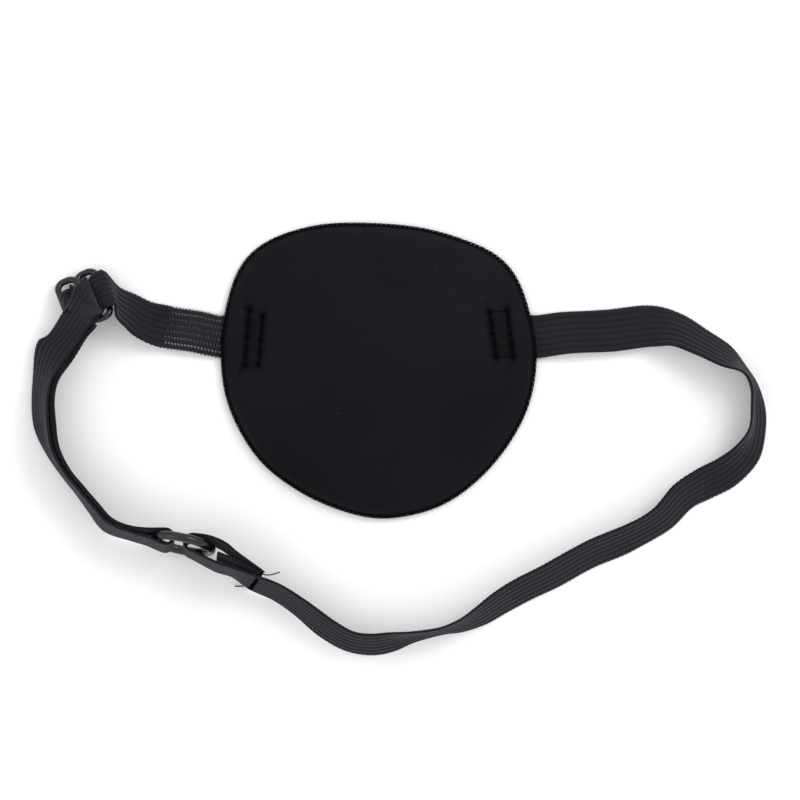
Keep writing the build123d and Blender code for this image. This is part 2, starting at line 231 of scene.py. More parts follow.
# Stage, in metres. Lamps: name, place, width and share of the key light's power
CAMERA_PLACE = (0.00067, 0.01053, 1.5)
CAMERA_LENS = 253.1
FLOOR_SIZE = 6.0
FLOOR_HEIGHT = -0.0002
LAMPS = [("key", (0.55, 0.50, 0.75), 0.45, 1.0), ("fill", (-0.70, -0.25, 0.70), 0.60, 0.3)]

# ---- settings

def colour(name, about, value):
    return FloatVectorProperty(
        name=name, description=about, default=value, size=3, min=0.0, max=1.0, subtype="COLOR"
    )


def amount(name, about, value, **more):
    return FloatProperty(name=name, description=about, default=value, min=0.0, **more)


def size(name, about, value):
    return amount(name, about, value, unit="LENGTH", precision=5)


class PadSettings(bpy.types.PropertyGroup):
    """Sizes and colours of the pad."""

    width: size("Width", "Width of the pad over its edge", 0.0840)
    height: size("Height", "Height of the pad over its edge", 0.0784)
    depth: size("Depth", "Height of the dome above the table", 0.0120)
    dent: size("Dent", "How far the fabric sinks at the sewn rectangles", 0.0011)
    stitch_pitch: size("Edge stitch pitch", "Distance between overlock stitches", 0.0013)
    cover_colour: colour("Cover colour", "Colour of the knit on the front", (0.0070, 0.0067, 0.0090))
    lining_colour: colour("Lining colour", "Colour of the fabric on the eye side", (0.0085, 0.0083, 0.0105))


class StrapSettings(bpy.types.PropertyGroup):
    """Sizes and colour of the elastic."""

    width: size("Width", "Width of the elastic", 0.0115)
    thickness: size("Thickness", "Thickness of the elastic at its ribs", 0.0009)
    ribs: IntProperty(name="Ribs", description="Lengthwise ribs across the elastic", default=7, min=2, max=16)
    elastic_colour: colour("Elastic colour", "Colour of the knitted yarn", (0.0155, 0.0155, 0.0195))


class HardwareSettings(bpy.types.PropertyGroup):
    """Finish of the slider and the ring."""

    plastic_colour: colour("Plastic colour", "Colour of the moulded plastic", (0.004, 0.004, 0.006))
    roughness: amount("Roughness", "Roughness of the plastic", 0.16, max=1.0, subtype="FACTOR")


class StageSettings(bpy.types.PropertyGroup):
    """Floor and light."""

    floor_colour: colour("Floor colour", "Colour of the floor", (0.94, 0.94, 0.95))
    key_power: amount("Key light", "Power of the key light", 3.6, unit="POWER")
    surround: amount("Surround", "Strength of the light all round", 1.0)


# ---- lines and meshes

def through(rows, step):
    """Rows at an even step on a smooth line through the given ones. The first three columns are the place."""
    rows = np.array(rows, float)
    root = np.sqrt(np.linalg.norm(np.diff(rows[:, :3], axis=0), axis=1))[:, None]
    slope = np.diff(rows, axis=0) / root
    tangent = np.vstack([slope[:1], slope])
    tangent[1:-1] = (root[1:] * slope[:-1] + root[:-1] * slope[1:]) / (root[1:] + root[:-1])
    u = np.linspace(0, 1, 24, endpoint=False)[None, :, None]
    start, end, reach = rows[:-1, None], rows[1:, None], root[:, None]
    dense = (
        start * (2 * u**3 - 3 * u**2 + 1) + end * (3 * u**2 - 2 * u**3)
        + tangent[:-1, None] * reach * (u**3 - 2 * u**2 + u) + tangent[1:, None] * reach * (u**3 - u**2)
    )
    dense = np.vstack([dense.reshape(-1, rows.shape[1]), rows[-1:]])
    along = lengths(dense[:, :3])
    even = np.linspace(0, along[-1], max(2, round(along[-1] / step) + 1))
    return np.stack([np.interp(even, along, column) for column in dense.T], axis=1)


def lengths(line):
    """Distance along a line to each of its points."""
    return np.append(0, np.cumsum(np.linalg.norm(np.diff(line, axis=0), axis=1)))


def unit(vectors):
    return vectors / np.linalg.norm(vectors, axis=-1, keepdims=True)


def bell(distance, reach):
    return np.exp(-((distance / reach) ** 2))


def to_segment(x, y, start, end):
    """Distance in plan from points to a segment, and the share of the way along it."""
    ax, ay = start
    dx, dy = end[0] - ax, end[1] - ay
    share = np.clip(((x - ax) * dx + (y - ay) * dy) / (dx * dx + dy * dy), 0, 1)
    return np.hypot(x - ax - share * dx, y - ay - share * dy), share


class Shape:
    """Vertices in millimetres and faces, put together from rings and grids."""

    def __init__(self):
        self.points = []
        self.faces = []
        self.marks = []

    def add(self, points, marks=None):
        first = sum(len(block) for block in self.points)
        self.points.append(np.array(points, float).reshape(-1, 3))
        if marks is not None:
            self.marks.append(np.array(marks, float).reshape(-1, 3))
        return first

    def skin(self, first, rings, around, caps=True, closed=False):
        """Quads between rings of points, each ring going round anticlockwise seen from its start."""
        for i in range(rings if closed else rings - 1):
            low, high = first + i * around, first + (i + 1) % rings * around
            for j in range(around):
                k = (j + 1) % around
                self.faces.append((low + j, low + k, high + k, high + j))
        if caps and not closed:
            self.faces.append(tuple(first + j for j in reversed(range(around))))
            self.faces.append(tuple(first + (rings - 1) * around + j for j in range(around)))

    def tube(self, line, radius, sides=6, closed=False):
        """A thread along a line of points."""
        line = np.array(line, float)
        way = unit(np.roll(line, -1, 0) - np.roll(line, 1, 0)) if closed else unit(np.gradient(line, axis=0))
        side = unit(np.cross(way, np.array([0.13, 0.21, 0.97])))
        other = np.cross(way, side)
        turn = np.arange(sides) * 2 * math.pi / sides
        ring = side[:, None] * np.cos(turn)[None, :, None] + other[:, None] * np.sin(turn)[None, :, None]
        first = self.add(line[:, None] + ring * radius)
        self.skin(first, len(line), sides, closed=closed)

    def build(self, name, finish):
        mesh = bpy.data.meshes.new(name)
        mesh.from_pydata((np.vstack(self.points) * MM).tolist(), [], self.faces)
        if self.marks:
            place = mesh.attributes.new("strap_place", "FLOAT_VECTOR", "POINT")
            place.data.foreach_set("vector", np.vstack(self.marks).astype(np.float32).ravel())
        mesh.validate()
        mesh.shade_smooth()
        made = bpy.data.objects.new(name, mesh)
        bpy.context.scene.collection.objects.link(made)
        made.data.materials.append(finish)
        return made


# ---- the pad's surfaces

def chosen(group):
    return getattr(bpy.context.scene, "eye_patch_" + group)


def round_pad(reach, angles):
    """Places in plan at distances and angles from the pad's centre."""
    return PAD_CENTRE[0] + reach * np.cos(angles), PAD_CENTRE[1] + reach * np.sin(angles)


def outline_reach(angles):
    """How far the pad's outline is from its centre at each angle."""
    pad = chosen("pad")
    half = np.array([pad.width, pad.height]) / 2 / MM
    corners = np.array(OUTLINE) * half
    ring = np.vstack([corners[-3:], corners, corners[:4]])
    line = through(np.column_stack([ring, np.zeros(len(ring))]), 0.25)
    turn = np.arctan2(line[:, 1], line[:, 0])
    order = np.argsort(turn)
    even = np.linspace(-math.pi, math.pi, 720, endpoint=False)
    reach = np.interp(even, turn[order], np.hypot(line[:, 0], line[:, 1])[order], period=2 * math.pi)
    waves = np.fft.rfft(reach)
    waves[15:] = 0
    return np.interp(angles, even, np.fft.irfft(waves, len(even)), period=2 * math.pi)


def dome_section(layer, step):
    """Shares of the outline and heights from the rim to the crown of one surface."""
    share, drop = layer
    depth = chosen("pad").depth / MM - drop - RIM_LIFT
    half = 40.0
    rows = [(s * share * half, RIM_LIFT + rise * depth, 0) for s, rise in DOME_PROFILE]
    rows += [(-rows[-1][0], rows[-1][1], 0)]
    line = through(rows, step)
    line = line[line[:, 0] > 0.35]
    line = np.vstack([line, [0, line[-1, 1], 0]])
    return line[:, 0] / half, line[:, 1]


def in_box(x, y, corners):
    """How far inside a four-cornered box each point is, 0 outside."""
    middle = np.mean(corners, axis=0)
    inside = np.full(np.shape(x), 1e9)
    for (ax, ay), (bx, by) in zip(corners, corners[1:] + corners[:1]):
        nx, ny = ay - by, bx - ax
        length = math.hypot(nx, ny)
        sign = 1 if (middle[0] - ax) * nx + (middle[1] - ay) * ny > 0 else -1
        inside = np.minimum(inside, sign * ((x - ax) * nx + (y - ay) * ny) / length)
    return np.clip(inside, 0, None)


def relief(x, y, layer):
    """How far one of the pad's surfaces sinks (below 0) or rises at each point.

    Only the front has the sewn grooves and creases. The surface under it is lower round them."""
    dent = chosen("pad").dent / MM
    total = 0.22 * np.sin(x / 8.0 + 0.6) * np.sin(y / 7.0 + 1.1) + 0.08 * np.sin(x / 4.1 - y / 5.3)
    groove = np.zeros(np.shape(x))
    near = np.zeros(np.shape(x))
    for corners in STITCH_BOXES.values():
        middle_x, middle_y = np.mean(corners, axis=0)
        total -= dent * np.exp(-(((x - middle_x) / 5.2) ** 2) - ((y - middle_y) / 10.5) ** 4)
        inside = in_box(x, y, corners)
        for first, last, depth in GROOVES:
            distance, share = to_segment(x, y, corners[first], corners[last])
            pinch = 0.8 + 0.2 * np.cos(share * 2 * math.pi * 6)
            groove = np.maximum(groove, depth * pinch * bell(distance, 0.72))
            near = np.maximum(near, np.where(inside > 0, 1, np.clip(1.6 - distance / 2.2, 0, 1)))
        fill = np.clip(inside / 0.8, 0, 1)
        groove -= fill * 0.3 * (np.sin(x * 3.9 + y * 1.3) * np.sin(y * 4.7 - x * 1.9) + 0.4)
    for start, end, depth in CREASES:
        distance, share = to_segment(x, y, start, end)
        crease = depth * (1 - share) ** 1.2 * bell(distance, 0.55 + 0.5 * share)
        groove = groove + crease * (1 - np.clip(groove, 0, 1))
    if layer == COVER_FRONT:
        return total - groove
    return total - UNDER_GROOVES * near if layer == FOAM_FRONT else total


def mark_painted_groove_shade(made):
    """Marks painted shade for the knit's colour: darkest in the sewn grooves and the creases, fainter inside
    the sewn rectangles.
    """
    places = np.empty(len(made.data.vertices) * 3, np.float32)
    made.data.vertices.foreach_get("co", places)
    x, y = places.reshape(-1, 3)[:, :2].T / MM
    share = np.zeros(len(x))
    for corners in STITCH_BOXES.values():
        for start, end in ((corners[0], corners[3]), (corners[1], corners[2])):
            distance, way = to_segment(x, y, start, end)
            share = np.maximum(share, bell(distance, 1.15) * (0.8 + 0.2 * np.cos(way * 26)))
        share = np.maximum(share, 0.35 * np.clip(in_box(x, y, corners), 0, 1))
    for start, end, depth in CREASES:
        distance, way = to_segment(x, y, start, end)
        share = np.maximum(share, 0.8 * (1 - way) * bell(distance, 0.7))
    # Painted shade: a share per point that darkens the cover's colour in the sewn grooves, creases and
    # rectangles
    painted_groove_shade = made.data.attributes.new("painted_groove_shade", "FLOAT", "POINT")
    painted_groove_shade.data.foreach_set("value", share.astype(np.float32))


def over_strap(points):
    """Lifts what is low at the two notches, so that the strap passes under it."""
    x, y, z = points.T
    reach = np.abs(np.abs(x - PAD_CENTRE[0]) - PAD_HALF_WIDTH)
    along = np.clip((NOTCH_REACH + 1.0 - reach) / 1.0, 0, 1)
    across = np.clip((NOTCH_HALF + 0.9 - np.abs(y - SEAM_Y)) / 0.9, 0, 1)
    lift = NOTCH_HIGH * along * across * across * (3 - 2 * across)
    raised = np.where(z < EDGE_HEIGHT, lift + z * (1 - lift / EDGE_HEIGHT), z)
    return np.column_stack([x, y, raised])


def pad_points(shares, heights, angles, layer):
    """Rings of points at shares of the outline and heights, with the surface's relief."""
    x, y = round_pad(shares[:, None] * outline_reach(angles), angles)
    keep = np.clip((heights - EDGE_HEIGHT) / 2.0, 0, 1)[:, None]
    z = heights[:, None] + relief(x, y, layer) * keep
    return over_strap(np.stack([x, y, z], axis=-1).reshape(-1, 3))


def pad_layer(name, front, back, finish, around, step, back_step):
    """A closed layer of the pad between two of its surfaces."""
    angles = np.arange(around) * 2 * math.pi / around
    shape = Shape()
    for layer, spacing, outward in ((front, step, True), (back, back_step, False)):
        shares, heights = dome_section(layer, spacing)
        rings = len(shares) - 1
        first = shape.add(pad_points(shares[:-1], heights[:-1], angles, layer))
        crown = shape.add(pad_points(shares[-1:], heights[-1:], angles[:1], layer))
        start = len(shape.faces)
        shape.skin(first, rings, around, caps=False)
        last = first + (rings - 1) * around
        shape.faces += [(last + j, last + (j + 1) % around, crown) for j in range(around)]
        if not outward:
            shape.faces[start:] = [face[::-1] for face in shape.faces[start:]]
            for j in range(around):
                k = (j + 1) % around
                shape.faces.append((rim + k, rim + j, first + j, first + k))
        rim = first
    return shape.build(name, finish)


# ---- the strap's lines

def lying(route, before, after, layers=0.0, stack=0.0):
    """Stations of a strip that lies on the table and leans on its outer edge."""
    chain = [before] + [Vector((x, y, 0)) for x, y, lean, lift in route] + [after]
    steps = layers if isinstance(layers, list) else [layers] * len(route)
    stations = []
    for i, (x, y, lean, lift) in enumerate(route):
        way = chain[i + 2] - chain[i]
        way = Vector((way.x, way.y, 0)).normalized()
        sine, cosine = math.sin(math.radians(lean)), math.cos(math.radians(lean))
        across = Vector((-way.y, way.x, 0)) * cosine + UP * sine
        height = STRAP_HALF_WIDTH * sine + (STRAP_HALF_THICK + stack) * cosine + lift
        stations.append((Vector((x, y, height)) + way.cross(across) * steps[i], across))
    return stations


def at_slider(points):
    """Stations from over, up, shift and turn in the slider's own directions."""
    stations = []
    for over, up, shift, turn in points:
        angle = math.radians(turn)
        place = SLIDER_CENTRE + SLIDER_ACROSS * over + SLIDER_FACE * up + SLIDER_BAR_WAY * shift
        stations.append((place, SLIDER_BAR_WAY * math.cos(angle) + SLIDER_ACROSS * math.sin(angle)))
    return stations


def crossing(layer):
    """One layer of the doubled run where it leaves the slider, over its outer bar."""
    chain = [CROSSING[0][0] * 2 - CROSSING[1][0]] + [place for place, across in CROSSING] + [AFTER_CROSSING]
    stations = []
    for i, (place, across) in enumerate(CROSSING):
        face = (chain[i + 2] - chain[i]).cross(across).normalized()
        stations.append((place + face * layer, across))
    return stations


def at_ring(points):
    return [(RING_CENTRE + RING_WAY * along + RING_AXIS * out, RING_UP) for along, out in points]


def turned(centre, radius, start, end):
    angles = [math.radians(start + (end - start) * i / TURN_STEPS) for i in range(TURN_STEPS + 1)]
    return [(centre + radius * math.cos(angle), radius * math.sin(angle)) for angle in angles]


BESIDE_SLIDER = at_slider([SLIDER_SIDE])[0][0]
BESIDE_RING = at_ring([LEFT_SIDE])[0][0]
BEYOND_RING = at_ring([RIGHT_SIDE])[0][0]


def double_run(layers):
    return lying(DOUBLE_RUN, BESIDE_SLIDER, BESIDE_RING, layers, DOUBLE_STACK)


def seam_layer(layer):
    return lying(LONG_RUN[:1], BEYOND_RING, Vector((*LONG_RUN[1][:2], 0)), layer, LAYER_STEP)[0]


def tab(side):
    """The sewn end, from inside the hollow out to the rim."""
    rim = PAD_CENTRE[0] + side * PAD_HALF_WIDTH
    return [(Vector((rim - side * inset, SEAM_Y, SEAM_Z + rise)), FLAT) for inset, rise in TAB_SLOPE]


SHORT = tab(-1) + [(SEAM_LEFT, FLAT)] + lying(SHORT_RUN, SEAM_LEFT, RISE[0][0])
DOWN = RISE + at_slider(THREADED) + crossing(-CROSSING_LAYER)[1:] + double_run(UNDER_LAYERS)
BACK = at_ring(LEFT_IN + turned(*LEFT_TURN) + LEFT_OUT)
BACK += double_run(OVER_LAYERS)[::-1] + crossing(CROSSING_LAYER)[::-1]
END_STOP = crossing(0)[:2]
LEFT_STRAP = SHORT + DOWN + BACK + at_slider(END_OVER + END_ROUND + END_UNDER) + END_STOP
SHORT_END = SHORT[-2][0]

LONG = [seam_layer(LAYER_STEP)] + lying(LONG_RUN, BEYOND_RING, SEAM_RIGHT)[1:]
RING_LOOP = at_ring(RIGHT_FRONT + turned(*RIGHT_TURN) + RIGHT_BACK)
RIGHT_STRAP = tab(1) + [(SEAM_RIGHT, FLAT)] + LONG[::-1] + RING_LOOP + [seam_layer(-LAYER_STEP)]
TURNED_UNDER = [seam_layer(0)] + at_ring(CUT_END)

STRAP_STEP = 0.4
COLUMNS = 28


def rows_of(stations):
    return through([[*centre, *across.normalized()] for centre, across in stations], STRAP_STEP)


def strap_piece(name, rows, start=0.0, opened=None):
    """A closed strip of ribbed elastic along rows of (centre, across)."""
    strap = chosen("strap")
    centre, across = rows[:, :3], unit(rows[:, 3:6])
    half_width, half_thick = strap.width / 2 / MM, strap.thickness / 2 / MM
    way = unit(np.gradient(centre, axis=0))
    face = unit(np.cross(way, across))
    along = start + lengths(centre)
    v = np.linspace(-1, 1, COLUMNS + 1)
    rib = np.abs(np.cos(math.pi * strap.ribs * (v + 1) / 2 + math.pi / 2))
    profile = half_thick * (0.90 + 0.07 * rib) * np.sqrt(np.clip(1.09 - v**8, 0, 1))
    arch = np.zeros(len(centre))
    for x, y, reach, height in ARCHES:
        arch += height * bell(np.hypot(centre[:, 0] - x, centre[:, 1] - y), reach)
    wave = 0.16 * np.sin(along / 4.3) + 0.12 * np.sin(along / 2.7 + 1.0)
    bow = arch[:, None] * (0.5 - np.abs(v) ** 1.3)[None] + wave[:, None] * (v**3)[None] * 0.6
    loops = 0.09 * np.where(np.arange(len(along)) % 3 == 0, 1, -0.5)
    reach = half_width * v[None] + np.sign(v)[None] * (np.abs(v) > 0.97)[None] * loops[:, None]
    middle = centre[:, None] + across[:, None] * reach[..., None] + face[:, None] * bow[..., None]
    rise = face[:, None] * profile[None, :, None]
    section = np.concatenate([middle + rise, (middle - rise)[:, ::-1]], axis=1)
    section[..., 2] = np.maximum(section[..., 2], 0.02)
    spread = np.concatenate([v, v[::-1]]) * half_width
    open_share = np.zeros(len(along)) if opened is None else opened(centre)
    marks = np.stack(np.broadcast_arrays(along[:, None], spread[None], open_share[:, None]), axis=-1)
    shape = Shape()
    shape.add(section, marks)
    shape.skin(0, len(along), section.shape[1])
    shape.faces = [corners[::-1] for corners in shape.faces]
    made = shape.build(name, finishes()["ribbed_elastic"])
    return made


# ---- finishes

class Value:
    """A number that changes over a surface. Arithmetic on it adds Math nodes."""

    def __init__(self, finish, socket):
        self.finish = finish
        self.socket = socket

    def math(self, operation, *others, reverse=False):
        terms = [*others, self] if reverse else [self, *others]
        made = self.finish.node("ShaderNodeMath", {"operation": operation}, dict(enumerate(terms)))
        return Value(self.finish, made.outputs[0])

    def __add__(self, other):
        return self.math("ADD", other)

    def __sub__(self, other):
        return self.math("SUBTRACT", other)

    def __rsub__(self, other):
        return self.math("SUBTRACT", other, reverse=True)

    def __mul__(self, other):
        return self.math("MULTIPLY", other)

    __radd__ = __add__
    __rmul__ = __mul__

    def wave(self, period):
        """0 to 1 and back over each period."""
        return (self * (2 * math.pi / period)).math("COSINE") * 0.5 + 0.5

    def between(self, low, high):
        """0 below low, 1 above high, and smooth between."""
        made = self.finish.node(
            "ShaderNodeMapRange", {"interpolation_type": "SMOOTHSTEP"},
            {"Value": self, "From Min": low, "From Max": high},
        )
        return Value(self.finish, made.outputs[0])


class Finish:
    """A material with one Principled shader."""

    def __init__(self, name, **constants):
        self.material = bpy.data.materials.new(name)
        self.material.use_nodes = True
        self.tree = self.material.node_tree
        self.tree.nodes.clear()
        constants = {key.replace("_", " "): value for key, value in constants.items()}
        self.shader = self.node("ShaderNodeBsdfPrincipled", {}, constants)
        self.node("ShaderNodeOutputMaterial", {}, {"Surface": self.shader.outputs[0]})
        self.place = self.node("ShaderNodeTexCoord").outputs["Object"]

    def node(self, kind, chosen=None, sockets=None):
        made = self.tree.nodes.new(kind)
        for key, value in (chosen or {}).items():
            setattr(made, key, value)
        for key, value in (sockets or {}).items():
            if isinstance(value, Value):
                value = value.socket
            if isinstance(value, bpy.types.NodeSocket):
                self.tree.links.new(value, made.inputs[key])
            else:
                made.inputs[key].default_value = value
        return made

    def noise(self, scale, detail=2.0):
        made = self.node("ShaderNodeTexNoise", {}, {"Vector": self.place, "Scale": scale, "Detail": detail})
        return Value(self, made.outputs["Fac"])

    def split(self, vector):
        made = self.node("ShaderNodeSeparateXYZ", {}, {"Vector": vector})
        return [Value(self, made.outputs[i]) for i in range(3)]

    def blend(self, share, dark, light):
        ends = [end if isinstance(end, bpy.types.NodeSocket) else (*end, 1) for end in (dark, light)]
        made = self.node("ShaderNodeMix", {"data_type": "RGBA"}, {0: share, 6: ends[0], 7: ends[1]})
        return made.outputs[2]

    def give(self, **sockets):
        for key, value in sockets.items():
            source = value.socket if isinstance(value, Value) else value
            self.tree.links.new(source, self.shader.inputs[key.replace("_", " ")])

    def bump(self, height, depth):
        made = self.node("ShaderNodeBump", {}, {"Height": height, "Distance": depth, "Strength": 1.0})
        self.tree.links.new(made.outputs[0], self.shader.inputs["Normal"])


def shade(base, factor):
    return tuple(min(1.0, c * factor) for c in base)


def knit_finish(name, base, row, lint):
    """A fine knit with a soft sheen, faint rows, a little lint, and painted shade where the groove shade
    attribute marks it.
    """
    f = Finish(
        name, Sheen_Weight=0.44, Sheen_Roughness=0.24, Sheen_Tint=(0.86, 0.86, 1.0, 1.0),
        Specular_IOR_Level=0.05,
    )
    x, y, z = f.split(f.place)
    wale = (x + z * 0.4).wave(row)
    course = (y + z * 0.4).wave(row * 0.8)
    fibre = f.noise(2600.0, 3.0)
    broad = f.noise(26.0, 3.0)
    speck = f.noise(1500.0, 1.0).between(0.79 - 0.02 * lint, 0.84)
    tone = (broad * 0.6 + fibre * 0.3 + wale * course * 0.08).between(0.15, 0.85)
    # Painted shade: the attribute that marks the sewn grooves and creases, read as 0 where it is missing
    painted_groove_shade = Value(f, f.node("ShaderNodeAttribute", {"attribute_name": "painted_groove_shade"}).outputs["Fac"])
    knit = f.blend(speck, f.blend(tone, shade(base, 0.62), shade(base, 1.5)), (0.055, 0.055, 0.06))
    f.give(
        # Painted shade: the knit's colour goes nearly black where the groove shade attribute is high
        Base_Color=f.blend(painted_groove_shade * 0.9, knit, shade(base, 0.08)),
        Roughness=broad * 0.18 + 0.62 + fibre * 0.08,
    )
    f.bump(wale * course * 0.35 + fibre, 0.00005)
    return f.material


def elastic_finish(base, ribs, width):
    """Ribbed elastic: chevron yarn on each rib, painted shade in the grooves between ribs, and gaps where it is
    pulled open.
    """
    f = Finish(
        "ribbed_elastic", Sheen_Weight=0.16, Sheen_Roughness=0.35, Sheen_Tint=(0.88, 0.90, 1.0, 1.0),
        Specular_IOR_Level=0.04,
    )
    place = f.node("ShaderNodeAttribute", {"attribute_name": "strap_place"}).outputs["Vector"]
    along, across, opened = f.split(place)
    pitch = width / ribs
    crown = 1 - (across + width / 2).wave(pitch)
    chevron = (along + crown * 0.42).wave(0.62)
    fibre = f.noise(2400.0, 2.0)
    broad = f.noise(55.0, 2.0)
    # Painted shade: the grooves between ribs are darkened in the colour; the same mask also shapes the bump and
    # roughness
    groove = crown.between(0.02, 0.26) * 0.55 + 0.45
    yarn = groove * (chevron * 0.75 + 0.25)
    tone = yarn * 0.62 + broad * 0.3 + fibre * 0.18
    gap = (along + across * 0.3).wave(0.85).between(0.30, 0.55) * (1 - crown.between(0.20, 0.42)) * opened
    f.give(
        Base_Color=f.blend(tone.between(0.1, 0.95), shade(base, 0.42), shade(base, 1.5)),
        Roughness=0.78 - yarn * 0.16 + fibre * 0.06,
        Alpha=1 - gap.math("GREATER_THAN", 0.5),
    )
    f.bump(yarn + crown * 0.6 + fibre * 0.25, 0.00016)
    return f.material


def thread_finish(name, base):
    """Twisted sewing thread."""
    f = Finish(name, Specular_IOR_Level=0.0)
    x, y, z = f.split(f.place)
    twist = (x + y * 1.7 + z * 1.3).wave(0.00042)
    broad = f.noise(160.0, 2.0)
    f.give(
        Base_Color=f.blend(twist * 0.6 + broad * 0.4, shade(base, 0.7), shade(base, 1.6)),
        Roughness=0.5 + broad * 0.25,
    )
    f.bump(twist, 0.00006)
    return f.material


def foam_finish(base):
    """Open moulded foam."""
    f = Finish("moulded_foam", Specular_IOR_Level=0.2)
    cells = f.node("ShaderNodeTexVoronoi", {}, {"Vector": f.place, "Scale": 1400.0})
    cell = Value(f, cells.outputs["Distance"])
    f.give(
        Base_Color=f.blend(cell.between(0.0, 0.8), shade(base, 0.6), shade(base, 1.4)),
        Roughness=0.85 - cell * 0.1,
    )
    f.bump(cell, 0.0002)
    return f.material


def plastic_finish(base, roughness):
    """Glossy moulded plastic with faint flow marks and handling scuffs."""
    f = Finish("glossy_plastic", Specular_IOR_Level=0.42, Coat_Roughness=0.08)
    flow = f.noise(240.0, 3.0)
    scuff = f.noise(1300.0, 4.0).between(0.56, 0.72)
    f.give(
        Base_Color=f.blend(flow, shade(base, 0.8), shade(base, 1.3)),
        Roughness=flow * 0.10 + roughness + scuff * 0.14,
        Coat_Weight=0.12 - scuff * 0.08,
    )
    f.bump(flow + scuff * 0.3, 0.00003)
    return f.material


def finishes():
    """The finishes of the whole object, made once."""
    if "cover_knit" not in bpy.data.materials:
        pad, strap, hardware = chosen("pad"), chosen("strap"), chosen("hardware")
        knit_finish("cover_knit", pad.cover_colour, 0.00055, 1.0)
        knit_finish("lining_knit", pad.lining_colour, 0.0007, 0.4)
        foam_finish((0.02, 0.02, 0.022))
        thread_finish("overlock_thread", (0.0055, 0.0055, 0.0070))
        thread_finish("twisted_thread", (0.0030, 0.0030, 0.0040))
        elastic_finish(strap.elastic_colour, strap.ribs, strap.width / MM)
        plastic_finish(hardware.plastic_colour, hardware.roughness)
    return bpy.data.materials


# ---- operators

class EYEPATCH_OT_stage(bpy.types.Operator):
    """Camera over the table, pale floor and soft light"""

    bl_idname = "eye_patch.stage"
    bl_label = "Stage"

    def execute(self, context):
        stage = chosen("stage")
        camera_data = bpy.data.cameras.new("camera")
        camera_data.lens = CAMERA_LENS
        camera_data.clip_end = 10.0
        camera = bpy.data.objects.new("camera", camera_data)
        camera.location = CAMERA_PLACE
        context.scene.collection.objects.link(camera)
        context.scene.camera = camera

        bpy.ops.object.select_all(action="DESELECT")
        bpy.ops.mesh.primitive_plane_add(size=FLOOR_SIZE, location=(0, 0, FLOOR_HEIGHT))
        floor = context.active_object
        floor.name = "floor"
        finish = Finish("floor_paper", Specular_IOR_Level=0.1)
        tooth = finish.noise(900.0, 3.0)
        finish.give(
            Base_Color=finish.blend(tooth, shade(stage.floor_colour, 0.99), stage.floor_colour[:]),
            Roughness=tooth * 0.1 + 0.8,
        )
        floor.data.materials.append(finish.material)

        world = bpy.data.worlds.new("surround")
        world.use_nodes = True
        background = world.node_tree.nodes["Background"]
        background.inputs["Color"].default_value = (1.0, 1.0, 1.0, 1.0)
        background.inputs["Strength"].default_value = stage.surround
        context.scene.world = world
        for name, place, width, share in LAMPS:
            lamp_data = bpy.data.lights.new(name, "AREA")
            lamp_data.size = width
            lamp_data.energy = stage.key_power * share
            lamp = bpy.data.objects.new(name, lamp_data)
            lamp.location = place
            lamp.rotation_euler = (-Vector(place)).to_track_quat("-Z", "Y").to_euler()
            context.scene.collection.objects.link(lamp)
        context.scene.view_settings.view_transform = "Standard"
        return {"FINISHED"}


class EYEPATCH_OT_pad(bpy.types.Operator):
    """Front fabric, foam and lining of the pad"""

    bl_idname = "eye_patch.pad"
    bl_label = "Pad"

    def execute(self, context):
        made = finishes()
        cover = pad_layer("front_cover", COVER_FRONT, FOAM_FRONT, made["cover_knit"], *COVER_MESH)
        foam = pad_layer("foam_shell", FOAM_FRONT, LINING_FRONT, made["moulded_foam"], *FOAM_MESH)
        lining = pad_layer("eye_side_lining", LINING_FRONT, LINING_BACK, made["lining_knit"], *LINING_MESH)
        # Painted shade in the cover's sewn grooves and creases, stored for its finish
        mark_painted_groove_shade(cover)
        for piece, node, slot in (
            (cover, "outer_cover", "cover_fabric"),
            (foam, "foam_core", "foam"),
            (lining, "inner_lining", "lining_fabric"),
        ):
            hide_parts(node)
            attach(piece, "patch")
        return {"FINISHED"}


